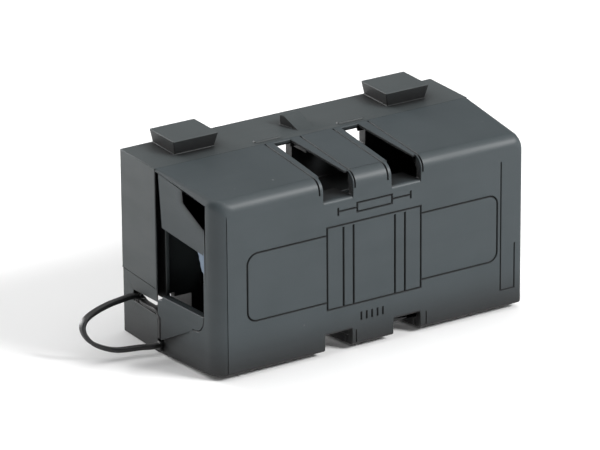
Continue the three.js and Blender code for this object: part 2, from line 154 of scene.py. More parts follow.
def loft(name, sections):
    """Closed piece through sections that all have the same number of points."""
    size = len(sections[0])
    verts = [p for section in sections for p in section]
    faces = [list(range(size)), list(range(len(verts) - size, len(verts)))]
    for s in range(len(sections) - 1):
        for i in range(size):
            j = (i + 1) % size
            faces.append([s * size + i, s * size + j, (s + 1) * size + j, (s + 1) * size + i])
    return new_piece(name, verts, faces)


PLACE = {
    "x": lambda a, b, along: (along, a, b),
    "y": lambda a, b, along: (a, along, b),
    "z": lambda a, b, along: (a, b, along),
}


def prism(outline, axis, low, high, name="bar"):
    """Bar of one outline: (y, z) along x, (x, z) along y, or (x, y) along z."""
    place = PLACE[axis]
    return loft(name, [[place(a, b, along) for a, b in outline] for along in (low, high)])


def block(x, y, z, name="block"):
    return prism([(x[0], y[0]), (x[1], y[0]), (x[1], y[1]), (x[0], y[1])], "z", z[0], z[1], name)


def rod(radius, x, z, low, high, sides=48, name="rod"):
    turn = [2 * math.pi * k / sides for k in range(sides)]
    return prism([(x + radius * math.cos(t), z + radius * math.sin(t)) for t in turn], "y", low, high, name)


def hexagon(across, x, z, low, high):
    turn = [math.pi * (k + 0.5) / 3 for k in range(6)]
    reach = across / math.sqrt(3)
    return prism([(x + reach * math.cos(t), z + reach * math.sin(t)) for t in turn], "y", low, high)


def carve(piece, add=(), cut=(), keep=(), softened=False):
    """Joins, cuts or crops a piece, and removes the tools. Bevels of a softened piece may cross."""
    for tools, operation in ((add, "UNION"), (cut, "DIFFERENCE"), (keep, "INTERSECT")):
        if not tools:
            continue
        tray = bpy.data.collections.new("tray")
        bpy.context.scene.collection.children.link(tray)
        for tool in tools:
            bpy.context.scene.collection.objects.unlink(tool)
            tray.objects.link(tool)
        step = piece.modifiers.new("carve", "BOOLEAN")
        step.operation = operation
        step.operand_type = "COLLECTION"
        step.collection = tray
        step.solver = "EXACT"
        step.use_self = softened
        settle(piece)
        for tool in list(tray.objects):
            bpy.data.objects.remove(tool)
        bpy.data.collections.remove(tray)
    return piece


def settle(piece):
    """Makes a piece's modifiers part of its mesh."""
    bpy.context.view_layer.update()
    graph = bpy.context.evaluated_depsgraph_get()
    mesh = bpy.data.meshes.new_from_object(piece.evaluated_get(graph))
    piece.modifiers.clear()
    piece.data = mesh
    return piece


WELD = 0.004
SLIVER = 0.002


def soften(piece, width, angle=30, crisp=None):
    """Rounds every edge sharper than an angle, except those on a crisp line, and stays in its box."""
    shaper = bmesh.new()
    shaper.from_mesh(piece.data)
    bmesh.ops.remove_doubles(shaper, verts=shaper.verts, dist=WELD)
    bmesh.ops.dissolve_degenerate(shaper, edges=shaper.edges, dist=SLIVER)
    weight = shaper.edges.layers.float.new("bevel_weight_edge")
    for edge in shaper.edges:
        plain = crisp and all(crisp(v.co) for v in edge.verts)
        if len(edge.link_faces) == 2 and edge.calc_face_angle() > math.radians(angle) and not plain:
            edge[weight] = 1.0
    shaper.to_mesh(piece.data)
    shaper.free()
    step = piece.modifiers.new("soften", "BEVEL")
    step.width = width
    step.segments = 3
    step.limit_method = "WEIGHT"
    step.use_clamp_overlap = False
    step.miter_outer = "MITER_ARC"
    corners = [Vector(corner) for corner in piece.bound_box]
    settle(piece)
    low = [min(corner[i] for corner in corners) for i in range(3)]
    high = [max(corner[i] for corner in corners) for i in range(3)]
    for vert in piece.data.vertices:
        vert.co = [min(max(value, a), b) for value, a, b in zip(vert.co, low, high)]
    return piece


def to_frame(piece, body, stands_for=(), sharp=36, crease=None):
    """Scales a finished piece to metres, shades it, and puts it on its body."""
    piece.data.shade_smooth()
    piece.data.set_sharp_from_angle(angle=math.radians(sharp))
    for edge in piece.data.edges if crease else ():
        if all(crease(piece.data.vertices[v].co) for v in edge.vertices):
            edge.use_edge_sharp = True
    piece.data.transform(Matrix.Scale(MM, 4))
    step = piece.modifiers.new("small faces", "TRIANGULATE")
    step.min_vertices = 5
    step = piece.modifiers.new("even shading", "WEIGHTED_NORMAL")
    step.keep_sharp = True
    step.weight = 90
    settle(piece)
    if body:
        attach(piece, body)
    if stands_for:
        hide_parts(*stands_for)
    size = piece.dimensions / MM
    print(f"{piece.name}: {len(piece.data.polygons)} faces, {size.x:.1f} x {size.y:.1f} x {size.z:.1f} mm")
    return piece


# %% [markdown]
# ## The cover's shell
#
# The cover tapers from the seam to the front face, so that it leaves its mould, and its edges round
# off by different amounts: 2.4 mm above, a broad arc that ends in a fine crease at the cable end, and
# very little below and at the closed end. A lofted skin of rounded sections does all of it at once, and
# every flat stays flat.

# %% The cover's skin
TAPER = {"left": 1.8, "right": 0.3, "top": 1.65, "bottom": 1.05}
TOP_ROUND = 2.4
END_ROUND = 4.1
END_CREASE = math.radians(27)
FOOT_ROUND = 0.7
CORNER_ROUND = {"seam": 0.5, "front": 2.0}


def arc_inset(depth, radius):
    """How far an arc that runs into the front face lies inside its side, a depth behind that face."""
    if depth >= radius:
        return 0.0
    return radius - math.sqrt(max(radius**2 - (radius - depth) ** 2, 0))


def creased_inset(depth):
    """The same for the cable end, whose arc meets the front face at a small angle."""
    reach = END_ROUND * math.cos(END_CREASE)
    if depth >= reach:
        return 0.0
    return END_ROUND - math.sqrt(END_ROUND**2 - (reach - depth) ** 2)


def cover_wall(side, y, inset=0.0):
    """Distance of a side of the cover from the middle, at y."""
    size = HALF_LENGTH if side in ("left", "right") else HALF_WIDTH
    return size - inset - TAPER[side] * (SEAM - y) / COVER_DEPTH


def cover_skin(name, inset, back, rounding=1.0, steps=16):
    """The cover's outside, or with an inset its hollow."""
    front = FRONT + inset
    depths = [END_ROUND * (1 - math.cos(math.pi / 2 * k / steps)) for k in range(steps + 1)]
    stations = [front + d for d in depths] + [back]
    sections = []
    for y in stations:
        depth = y - front
        left = cover_wall("left", y, inset) - rounding * creased_inset(depth)
        right = cover_wall("right", y, inset) - rounding * arc_inset(depth, FOOT_ROUND)
        top = cover_wall("top", y, inset) - rounding * arc_inset(depth, TOP_ROUND)
        bottom = cover_wall("bottom", y, inset) - rounding * arc_inset(depth, FOOT_ROUND)
        share = min(max((SEAM - y) / COVER_DEPTH, 0), 1)
        foot = CORNER_ROUND["seam"]
        corner = foot + (CORNER_ROUND["front"] - foot) * share
        section = rounded([(-left, -bottom, foot), (right, -bottom, foot), (right, top, corner),
                           (-left, top, corner)])
        sections.append([(x, y, z) for x, z in section])
    return loft(name, sections)


shell = cover_skin("cover_shell", 0.0, SEAM - 0.05)
carve(shell, cut=[cover_skin("hollow", WALL, SEAM + 5, rounding=0.5, steps=6)])
print("the cover's shell:", len(shell.data.polygons), "faces")

# %% [markdown]
# ## Slots, cable entry and knock-out
#
# Two slots run over the upper side and two notches over the lower one, beside ribs that guide the
# latches. The left end is open for a cable: its knock-out has been torn away, and a corner of it still
# stands. Each opening is a bar cut through the shell, with its sill rounded over. Every size of a slot is
# a distance from its own centre, so one function cuts all four.

# %% Slots
SLOT_EDGES = {"back": (-2.35, 1.7), "front": (-2.85, 3.2)}
UPPER = {"side": 1, "centres": (-7.6, 8.6), "mouth": (-3.3, 3.75), "sill": 13.6}
LOWER = {"side": -1, "centres": (-7.35, 9.05), "mouth": (-3.25, 3.25), "sill": 15.35}
BRIDGE = {"length": 0.65, "thickness": 0.85}
SILL_ROUND = 0.75
RIB = {"thickness": 1.1, "depth": 4.2, "gap": 0.3, "back": 3.2, "head": 0.8}
LEDGE = {"depth": 5.6, "drop": 0.6}
UNDERCUT_WALL = 0.6


def slot_cutters(row, centre):
    """Opening in the long side, its mouth in the front face, and the thin bridge at the seam."""
    side, sill = row["side"], row["sill"]
    over = side * (HALF_WIDTH + 1)
    under, beneath = side * (HALF_WIDTH - WALL - 2), side * (HALF_WIDTH - WALL - 1.5)
    left, right = ({"back": centre + SLOT_EDGES["back"][i], "front": centre + SLOT_EDGES["front"][i],
                    "mouth": centre + row["mouth"][i]} for i in (0, 1))
    back = SEAM - BRIDGE["length"]
    plan = [(left["back"], back), (right["back"], back), (right["front"], FRONT + TOP_ROUND, 1.2),
            (right["mouth"], FRONT - 1), (left["mouth"], FRONT - 1), (left["front"], FRONT + TOP_ROUND, 1.2)]
    turns = [math.pi / 2 * k / 5 for k in range(6)]
    arc = [(FRONT + SILL_ROUND - SILL_ROUND * math.sin(turn),
            side * (sill - SILL_ROUND + SILL_ROUND * math.cos(turn))) for turn in turns]
    inner = FRONT + WALL + LEDGE["depth"]
    mouth = [(inner, side * (sill - LEDGE["drop"])), (FRONT + WALL, side * sill)]
    mouth += arc + [(FRONT - 1, side * (sill - SILL_ROUND)), (FRONT - 1, over)]
    mouth += [(FRONT + TOP_ROUND, over), (FRONT + TOP_ROUND, beneath), (inner, beneath)]
    bridge = sorted((under, side * (HALF_WIDTH - BRIDGE["thickness"])))
    return [
        prism(rounded(plan, 4), "z", *sorted((under, over))),
        prism(mouth, "x", left["mouth"], right["mouth"]),
        block((left["back"], right["back"]), (back - 1, SEAM + 1), bridge),
    ]


def slanted(plan, foot, heads):
    """Upright wall on a plan, whose head follows the taper of the cover."""
    return loft("wall", [[(x, y, foot) for x, y in plan], [(x, y, h) for (x, y), h in zip(plan, heads)]])


def slot_ribs(row, centre):
    """Rib along a slot's left side, and for the lower row along its right side too."""
    side = row["side"]
    face = "top" if side > 0 else "bottom"
    walls = []
    for hand, i in [(-1, 0)] if side > 0 else [(-1, 0), (1, 1)]:
        near = centre + SLOT_EDGES["back"][i] + hand * RIB["gap"]
        far = centre + row["mouth"][i] + hand * RIB["gap"]
        thick = hand * RIB["thickness"]
        start, end = SEAM - RIB["back"], FRONT + 1
        plan = [(near, start), (far, end), (far + thick, end), (near + thick, start)]
        heads = [side * (cover_wall(face, y) - RIB["head"]) for _, y in plan]
        walls.append(slanted(plan, side * (HALF_WIDTH - WALL - RIB["depth"]), heads))
    return walls


def slot_ledge(row, centre):
    """Shelf inside each mouth that the sill runs into."""
    side, sill = row["side"], row["sill"]
    inner = FRONT + WALL + LEDGE["depth"] - 0.2
    section = [(FRONT + 0.9, side * (sill + 0.4)), (inner, side * (sill + 0.4)), (inner, side * (sill - 2.1)),
               (FRONT + 0.9, side * (sill - 3.2))]
    return prism(section, "x", centre + row["mouth"][0] - 0.8, centre + row["mouth"][1])


def slot_undercut(centre):
    """To the right of each upper slot the wall is thin, so that the latch arm beside it can bend."""
    back, front = SEAM - BRIDGE["length"], FRONT + WALL + 0.4
    edge_back, edge_front = centre + SLOT_EDGES["back"][1], centre + SLOT_EDGES["front"][1]
    plan = [(edge_back - 0.3, back), (edge_front - 0.5, front), (edge_front + 2, front), (edge_back + 2, back)]
    heads = [cover_wall("top", y) - UNDERCUT_WALL for _, y in plan]
    return slanted(plan, HALF_WIDTH - WALL - 4, heads)


slots = [(row, centre) for row in (UPPER, LOWER) for centre in row["centres"]]
carve(shell, add=[w for s in slots for w in slot_ribs(*s)] + [slot_ledge(*s) for s in slots])
undercuts = [slot_undercut(centre) for centre in UPPER["centres"]]
carve(shell, cut=[tool for s in slots for tool in slot_cutters(*s)] + undercuts)
print("slots cut:", len(slots))

# %% Cable entry, end gaps and the scored knock-out
CABLE = {"bottom": -7.05, "top_seam": 8.15, "top_inner": 6.2, "web_foot": 2.75, "depth": 15.95}
SCORE = {"width": 0.4, "depth": 0.65}
ENTRY_INNER = SEAM - CABLE["depth"]
OUT = HALF_LENGTH + 1

entry = rounded([(SEAM + 1, CABLE["bottom"]), (SEAM + 1, CABLE["top_seam"]),
                 (ENTRY_INNER - 0.25, CABLE["top_inner"], 0.5), (ENTRY_INNER, CABLE["web_foot"]),
                 (ENTRY_INNER, CABLE["bottom"], 0.3)], 3)


def end_gap(hand):
    """The end walls stop short of the base, except a tongue that closes the base's strap notch."""
    edge = [(1, -18.9), (1, 19.25), (-1.15, 19.25), (-1.6, 14), (-2.1, 8.5), (-1.9, -7.2), (-1.75, -7.9)]
    edge += [(-0.2, -8.3), (-0.2, -11.6), (-1.1, -12.0), (-1.1, -16.6), (-1.2, -18.9)]
    outline = [(SEAM + y, z) for y, z in edge]
    return prism(outline, "x", *sorted((hand * (HALF_LENGTH - 1.9), hand * OUT)))


def score_line():
    """Scored outline of the knock-out on the closed end."""
    low, high, width = CABLE["bottom"], CABLE["top_seam"], SCORE["width"]
    outline = [(SEAM - 1, low), (SEAM - 1, high), (ENTRY_INNER, high, 2), (ENTRY_INNER, low, 2)]
    middle = [(SEAM - 0.9, low + width), (SEAM - 0.9, high - width),
              (ENTRY_INNER + width, high - width, 1.7), (ENTRY_INNER + width, low + width, 1.7)]
    ring = prism(rounded(outline), "x", HALF_LENGTH - SCORE["depth"], OUT)
    return carve(ring, cut=[prism(rounded(middle), "x", HALF_LENGTH - 3, OUT + 1)])


def strap_hollow():
    """Shallow hollow below the cable entry: a step along its slanting upper edge, running out below."""
    near, far = SEAM + 0.5, SEAM - 12.6
    upper = {near: -17.6, far: -10.7}
    depth = {near: 0.8, far: -0.02}
    sections = []
    for y in (near, far):
        wall = -cover_wall("left", y)
        sections.append([(wall - 1, y, upper[y]), (wall + depth[y], y, upper[y] - 0.1),
                         (wall - 0.05, y, upper[y] - 4.5), (wall - 1, y, upper[y] - 4.5)])
    return loft("hollow", sections)


carve(shell, cut=[prism(entry, "x", -OUT, -HALF_LENGTH + 6), end_gap(-1), end_gap(1), score_line()])
print("cable entry:", CABLE)

# %% [markdown]
# ## Soft edges, then engraving
#
# The cover's edges are softened before it is engraved, so the fine grooves keep their crisp shape. A
# groove is a V that follows a line on a face: light catches the flank of a level one, and an upright
# one stays dark. The front shows a fuse in outline: its body in the middle and a contact blade at each
# side. Where a maker would set a name, a plain fuse symbol is engraved instead.

# %% Soften the cover


def on_seam(point):
    """The long upper edges at the seam meet closely and stay crisp."""
    return abs(point.y - SEAM) < 0.1 and point.z > HALF_WIDTH - 0.5


soften(shell, 0.16, crisp=on_seam)
print("softened:", len(shell.data.polygons), "faces")

# %% Grooves


def furrow(path, normals, width, depth, closed=False):
    """V-shaped cutter that follows a path on a surface; each normal points out of the material."""
    lift, longest_mitre = 0.08, 2.5
    points = [Vector(p) for p in path]
    count = len(points)
    sections = []
    for i, (point, normal) in enumerate(zip(points, normals)):
        normal = Vector(normal).normalized()
        ahead = points[(i + 1) % count] - point if closed or i < count - 1 else point - points[i - 1]
        behind = point - points[i - 1] if closed or i > 0 else ahead
        ahead, behind = ahead.normalized(), behind.normalized()
        along = (ahead + behind).normalized()
        side = along.cross(normal).normalized()
        mitre = 1 / max(side.dot(ahead.cross(normal).normalized()), 1 / longest_mitre)
        half = width / 2 * (1 + lift / depth) * mitre
        sections.append([point + normal * lift + side * half, point + normal * lift - side * half,
                         point - normal * depth])
    if not closed:
        return loft("furrow", sections)
    verts = [p for section in sections for p in section]
    faces = []
    for s in range(count):
        n = (s + 1) % count
        for i in range(3):
            j = (i + 1) % 3
            faces.append([s * 3 + i, s * 3 + j, n * 3 + j, n * 3 + i])
    return new_piece("furrow", verts, faces)


def front_groove(line, closed=False, width=0.46, depth=0.34):
    """Groove on the front face through (x, z) points."""
    path = [(x, FRONT, z) for x, z in line]
    return furrow(path, [(0, -1, 0)] * len(path), width, depth, closed)


CENTRE_PLATE = {"left": -10.05, "right": 12.33, "low": -9.75, "high": 7.95}
BLADE = {"low": -8.1, "high": 6.35, "left": -28.8, "right": 31.0}
UPRIGHTS = (-6.2, -3.8, 6.1, 8.5)


def blade_outline(inner, outer, corner):
    low, high = BLADE["low"], BLADE["high"]
    points = rounded([(inner, low), (outer, low, 2.1), (outer, high, corner), (inner, high)], 7)
    return [tuple(p) for p in points]


plate = CENTRE_PLATE
grooves = [
    front_groove([(plate["left"], plate["low"]), (plate["right"], plate["low"]),
                  (plate["right"], plate["high"]), (plate["left"], plate["high"])], closed=True),
    front_groove(blade_outline(plate["left"], BLADE["left"], 2.4)),
    front_groove(blade_outline(plate["right"], BLADE["right"], 2.0)),
    front_groove([(35.3, -5.0), (35.3, -14.9), (31.9, -14.9), (31.9, 13.3)], width=0.36, depth=0.26),
]
crease_x = creased_inset(0) - cover_wall("left", FRONT)
grooves.append(front_groove([(crease_x, -18.4), (crease_x, 15.7)], width=0.2, depth=0.16))
below_entry = [(-29.4, -7.0), (-29.3, -8.2), (-29.0, -9.2), (-28.1, -10.3), (-27.2, -10.7), (-25.6, -10.85)]
end_line = [(-cover_wall("left", y), y, z) for y, z in below_entry]
grooves.append(furrow(end_line, [(-1, -0.087, 0)] * len(end_line), 0.34, 0.24))
for x in UPRIGHTS:
    grooves.append(front_groove([(x, plate["low"] + 0.05), (x, plate["high"] - 0.45)], width=0.5, depth=0.4))
carve(shell, cut=[*grooves, strap_hollow()], softened=True)
print("grooves on the front and the left end:", len(grooves))

# %% Seams of the latch arms beside each slot


def over_the_edge(x, side, start, end_drop):
    """Path and normals along the upper or lower side at x, over the front edge and down the front."""
    face, radius = ("top", TOP_ROUND) if side > 0 else ("bottom", FOOT_ROUND)
    slope = math.atan(TAPER[face] / COVER_DEPTH)
    path, normals = [], []
    for k in range(5):
        y = start + (FRONT + radius - start) * k / 4
        path.append((x, y, side * cover_wall(face, y)))
        normals.append((0, -math.sin(slope), side * math.cos(slope)))
    for k in range(1, 13):
        turn = math.pi / 2 * k / 12
        depth = radius * (1 - math.sin(turn))
        y = FRONT + depth
        path.append((x, y, side * (cover_wall(face, y) - arc_inset(depth, radius))))
        normals.append((0, -math.sin(turn), side * math.cos(turn)))
    path.append((x, FRONT, side * (HALF_WIDTH - end_drop)))
    normals.append((0, -1, 0))
    return path, normals


RIM_LINES = {"offsets": (-4.2, 4.2), "width": 0.4, "depth": 0.34}
rims = []
for centre in UPPER["centres"]:
    for offset in RIM_LINES["offsets"]:
        path, normals = over_the_edge(centre + offset, 1, SEAM - 0.35, 4.6)
        rims.append(furrow(path, normals, RIM_LINES["width"], RIM_LINES["depth"]))
for x, reach in ((13.7, 4.6), (-3.2, 4.4)):
    rims.append(front_groove([(x, -18.2), (x, -HALF_WIDTH + reach)], width=0.3, depth=0.2))
carve(shell, cut=rims, softened=True)
print("seams of latch arms:", len(rims))

# %% Plain fuse symbol above the plate, and a row of ticks below it
SYMBOL = {"x": (-7.4, 9.9), "z": 10.95, "half_height": 0.95, "body": (-2.9, 5.4)}
TICKS = {"x": (-2.0, -0.7, 0.6, 1.9, 3.2), "z": (-13.6, -11.8)}
low, high = SYMBOL["z"] - SYMBOL["half_height"], SYMBOL["z"] + SYMBOL["half_height"]
left, right = SYMBOL["body"]
marks = [front_groove([(left, low), (right, low), (right, high), (left, high)], closed=True)]
for outer, inner in zip(SYMBOL["x"], SYMBOL["body"]):
    marks.append(front_groove([(outer, SYMBOL["z"]), (inner, SYMBOL["z"])]))
    marks.append(front_groove([(outer, low + 0.1), (outer, high - 0.1)]))
for x in TICKS["x"]:
    marks.append(front_groove([(x, TICKS["z"][0]), (x, TICKS["z"][1])]))
carve(shell, cut=marks, softened=True)


def on_crease(point):
    """The fine crease where the cable end's broad arc meets the front face."""
    return abs(point.x - crease_x) < 0.03 and abs(point.y - FRONT) < 0.03


cover_shell = to_frame(shell, "cover", ["cover"], crease=on_crease)

# %% [markdown]
# ## The torn corner of the knock-out
#
# Where the knock-out was broken away, a thin web of plastic stayed in the corner. Bending turned its
# edge pale, so it gets a stress-whitened finish of its own.

# %% Torn web
WEB = {"outer": -HALF_LENGTH + 1.4, "thickness": 0.5}
ragged = [(-0.35, 2.3), (0.1, 2.6), (0.55, 2.75), (0.7, 3.3), (1.0, 3.7), (1.1, 4.4), (1.45, 4.9), (1.6, 5.7),
          (1.95, 6.2), (2.3, 6.9), (-0.35, 6.9)]
ragged = [(ENTRY_INNER + y, z) for y, z in ragged]
torn_web = prism(ragged, "x", WEB["outer"], WEB["outer"] + WEB["thickness"], name="torn_web")
soften(torn_web, 0.05)
to_frame(torn_web, "cover")

# %% [markdown]
# ## The base
#
# The base is a tray of 2 mm walls with a deck that carries the studs. Its back is hollow, with ribs and
# bosses flush with the mounting face. Two dovetail tabs stand on the upper side and fit the grooves of
# the next holder's lower side. Every wall and boss is joined before anything is cut, so that no later
# bar fills a bore. Sizes that the frame already states are repeated here as the driving ones.

# %% Sizes of the base
BASE_WALL = 2.0
DECK = {"back": -8.0, "front": -10.5}
SEAT = -12.0
STUDS = {"left": -15.0, "right": 15.0}
SLEEVES = {"left": (-28.5, 11.2), "right": (28.5, -10.3)}
DOVETAIL = {"x": 25.4, "top": 10.6, "foot": 9.2, "height": 3.0, "back": -0.2, "front": -9.6, "lean": 0.6}
RAMP = {"back": -5.6, "front": -11.0, "height": 2.1, "flat": 1.2, "back_x": (-3.2, 1.1), "front_x": (-2.1, 1.6)}
NOTCH = {"bottom": -11.8, "top_front": -8.75, "top_back": -9.45, "depth": 9.45}
STEP_LINE = {"front": -6.2, "back": -5.7, "depth": 0.14}
BOSS = {"middle": 5, "stud": 7, "sleeve": 6}
BORE = {"stud": 2.6, "head_across": 8.4, "head_depth": 4.5, "sleeve": 4.1}
LATCH_WINDOW = {"centres": (-7.6, 10.2), "half": 4.3, "inner": 13.2}
DOVETAIL_FIT = 0.15
inside = HALF_LENGTH - BASE_WALL
inside_z = HALF_WIDTH - BASE_WALL


def dovetail_section(centre, bottom, grow):
    """Outline of a tab, or with some growth the groove that takes the next holder's tab."""
    foot, top = DOVETAIL["foot"] / 2 + grow, DOVETAIL["top"] / 2 + grow
    height = DOVETAIL["height"] + grow
    return [(centre - foot, bottom - 1), (centre + foot, bottom - 1), (centre + foot, bottom),
            (centre + top, bottom + height), (centre - top, bottom + height), (centre - foot, bottom)]


def dovetail_tab(centre):
    back, front, height = DOVETAIL["back"], DOVETAIL["front"], DOVETAIL["height"]
    foot = front + DOVETAIL["lean"]
    side = [(back, HALF_WIDTH - 1), (back, HALF_WIDTH + height), (front, HALF_WIDTH + height),
            (foot, HALF_WIDTH), (foot, HALF_WIDTH - 1)]
    tab = prism(dovetail_section(centre, HALF_WIDTH, 0), "y", front, back, "tab")
    return carve(tab, keep=[prism(side, "x", -HALF_LENGTH, HALF_LENGTH)])


def lock_ramp():
    """Ramp that snaps behind the next holder's edge."""
    z = HALF_WIDTH - 1
    plan = [(RAMP["back_x"][0], RAMP["back"]), (RAMP["front_x"][0], RAMP["front"]),
            (RAMP["front_x"][1], RAMP["front"]), (RAMP["back_x"][1], RAMP["back"])]
    side = [(RAMP["back"], z - 1), (RAMP["back"], HALF_WIDTH + RAMP["height"]),
            (RAMP["back"] - RAMP["flat"], HALF_WIDTH + RAMP["height"]), (RAMP["front"], HALF_WIDTH),
            (RAMP["front"], z - 1)]
    wedge = prism(plan, "z", z, HALF_WIDTH + RAMP["height"] + 1, "wedge")
    return carve(wedge, keep=[prism(side, "x", -5, 5)])


def step_line(hand):
    """The lower part of each end lies a little back, below a line that climbs towards the mounting face."""
    outline = [(SEAM - 1, STEP_LINE["front"]), (1, STEP_LINE["back"]), (1, -HALF_WIDTH - 1),
               (SEAM - 1, -HALF_WIDTH - 1)]
    return prism(outline, "x", *sorted((hand * (HALF_LENGTH - STEP_LINE["depth"]), hand * OUT)))


# %% Join and cut the base
base_body = block((-HALF_LENGTH, HALF_LENGTH), (SEAM, 0), (-HALF_WIDTH, HALF_WIDTH), "base_body")
carve(base_body, cut=[
    block((-inside, inside), (DECK["back"], 1), (-inside_z, inside_z)),
    block((-inside, inside), (SEAM - 10, DECK["front"]), (-inside_z, inside_z)),
])

lip_x, lip_z, lip_wall = HALF_LENGTH - WALL - 0.3, HALF_WIDTH - WALL - 0.3, 1.2
lip = block((-lip_x, lip_x), (SEAM - 2.5, DECK["front"] + 1), (-lip_z, lip_z), "lip")
carve(lip, cut=[block((lip_wall - lip_x, lip_x - lip_wall), (FRONT, 0), (lip_wall - lip_z, lip_z - lip_wall))])
added = [
    lip,
    lock_ramp(),
    rod(BOSS["middle"], 0, 0, DECK["front"], 0),
    block((-inside - 1, inside + 1), (DECK["front"], 0), (-1.2, 1.2)),
]
for x in STUDS.values():
    added.append(rod(BOSS["stud"], x, 0, SEAT, 0))
for x, z in SLEEVES.values():
    added.append(rod(BOSS["sleeve"], x, z, DECK["front"], 0))
for side in (-1, 1):
    middle = side * DOVETAIL["x"]
    added.append(block(sorted((side * 24.7, side * 26.3)), (DECK["front"], 0), (-18.8, 18.8)))
    added.append(block((-24, 24), (-19.5, -10), sorted((side * 7.3, side * 8.5))))
    added.append(dovetail_tab(middle))
    added.append(block((middle - 7, middle + 7), (-9, 0), (-HALF_WIDTH + 0.5, -HALF_WIDTH + 3.9)))
    for z in (-11.5, 11.5):
        added.append(block((side * 24.6 - 0.8, side * 24.6 + 0.8), (SEAM, -10), (z - 3.5, z + 3.5)))
carve(base_body, add=added)


def thin_wall(hand):
    """Each end wall thins towards the seam, so that only a narrow edge shows beside the cover."""
    edge, within = HALF_LENGTH - 0.4, inside - 0.3
    outline = [(hand * edge, SEAM - 0.5), (hand * edge, SEAM), (hand * inside, SEAM + 5.5),
               (hand * within, SEAM + 5.5), (hand * within, SEAM - 0.5)]
    return prism(outline, "z", -9.4, HALF_WIDTH - 1.2)


removed = [step_line(-1), step_line(1), thin_wall(-1), thin_wall(1)]
for x in STUDS.values():
    removed.append(rod(BORE["stud"], x, 0, SEAT - 1, 1))
    removed.append(hexagon(BORE["head_across"], x, 0, -BORE["head_depth"], 1))
for x, z in SLEEVES.values():
    removed.append(rod(BORE["sleeve"], x, z, DECK["front"] - 1, 1))
for side in (-1, 1):
    groove = dovetail_section(side * DOVETAIL["x"], -HALF_WIDTH, DOVETAIL_FIT)
    removed.append(prism(groove, "y", DOVETAIL["front"] - 0.4, 1))
    lip_window = sorted((side * (inside - 2), side * (HALF_LENGTH - WALL + 0.1)))
    removed.append(block(lip_window, (FRONT, SEAM), (-9.5, 9.5)))
    latch_z, half = sorted((side * LATCH_WINDOW["inner"], side * (HALF_WIDTH - 1.3))), LATCH_WINDOW["half"]
    for centre in LATCH_WINDOW["centres"]:
        removed.append(block((centre - half, centre + half), (SEAM - 4, 1), latch_z))
notch = [(SEAM - 4, NOTCH["bottom"]), (SEAM + NOTCH["depth"], NOTCH["bottom"], 0.4),
         (SEAM + NOTCH["depth"], NOTCH["top_back"], 0.3), (SEAM - 4, NOTCH["top_front"])]
removed.append(prism(rounded(notch, 4), "x", -HALF_LENGTH - 1, -inside + 4))
removed.append(block((-inside, -inside + 8), (SEAM - 4, DECK["back"] + 1), (-inside_z, -10.1)))
carve(base_body, cut=removed)
print("base joined and cut:", len(base_body.data.polygons), "faces")

# %% Small ridges behind the slots, then soft edges
bead = rounded([(-12.35, HALF_WIDTH - 0.5), (-12.35, HALF_WIDTH + 0.3, 0.12),
                (-11.5, HALF_WIDTH + 0.3, 0.25), (-11.4, HALF_WIDTH - 0.5)], 3)
carve(base_body, add=[prism(bead, "x", *reach) for reach in ((-13.2, -7.0), (6.7, 12.8))])
soften(base_body, 0.18, crisp=on_seam)
base_tray = to_frame(base_body, "base", ["base"])

# %% [markdown]
# ## The strap
#
# The strap is moulded on the cover's lower corner. It is a flat band, 1.6 mm wide and 0.9 mm thick, that
# loops out past the end and back into the notch of the base. Its inner run lies along the notch and
# down the seam. It lies between two bodies and is put on neither, so it stays where it is drawn.

# %% Sweep the flat band
BAND = {"width": 1.6, "thickness": 0.86, "edge": 0.28}
IN_WALL = -HALF_LENGTH + 0.75
SEAM_RUN = SEAM - 0.6
NOTCH_RUN = NOTCH["bottom"] + 0.65
LOOP = [
    (IN_WALL, SEAM_RUN, -17.9), (-39.1, SEAM - 0.6, -17.95), (-41.5, SEAM + 0.2, -17.9),
    (-46, SEAM + 1.2, -17.75), (-49.1, SEAM + 1.8, -16.75), (-51.3, SEAM + 2.4, -15.4),
    (-52.5, SEAM + 3, -13.8), (-52.7, SEAM + 3.6, -12.2), (-51.6, SEAM + 4.2, -10.9),
    (-48.9, SEAM + 5, -10.1), (-45.4, SEAM + 5.8, -9.65), (-42.2, SEAM + 6.5, -9.6),
    (-39.5, SEAM + 7.2, -9.7), (-38, SEAM + 7.7, -10.1), (IN_WALL, SEAM + 7.6, NOTCH_RUN + 0.5),
    (IN_WALL, SEAM + 6, NOTCH_RUN), (IN_WALL, SEAM + 3, NOTCH_RUN), (IN_WALL, SEAM + 0.4, NOTCH_RUN),
    (IN_WALL, SEAM_RUN, NOTCH_RUN - 1.1), (IN_WALL, SEAM_RUN, -14), (IN_WALL, SEAM_RUN, -16.6),
]


def smooth_route(points, per_span):
    """Catmull-Rom curve through the points."""
    route = [Vector(p) for p in points]
    route = [route[0] * 2 - route[1], *route, route[-1] * 2 - route[-2]]
    curve = []
    for i in range(1, len(route) - 2):
        a, b, c, d = route[i - 1 : i + 3]
        for k in range(per_span):
            t = k / per_span
            curve.append(0.5 * (2 * b + (c - a) * t + (2 * a - 5 * b + 4 * c - d) * t**2
                                + (3 * b - a - 3 * c + d) * t**3))
    curve.append(route[-2])
    return curve


def sweep_band(name, route, wide_along):
    """Flat band with rounded edges; its width stays as near as it can to the direction given there."""
    wide, thick, edge = BAND["width"] / 2, BAND["thickness"] / 2, BAND["edge"]
    section = rounded([(-wide, -thick, edge), (wide, -thick, edge), (wide, thick, edge),
                       (-wide, thick, edge)], 3)
    rings = []
    for i, point in enumerate(route):
        along = (route[min(i + 1, len(route) - 1)] - route[max(i - 1, 0)]).normalized()
        wide = wide_along[i]
        wide = (wide - along * wide.dot(along)).normalized()
        thick = along.cross(wide)
        rings.append([point + wide * a + thick * b for a, b in section])
    return loft(name, rings)


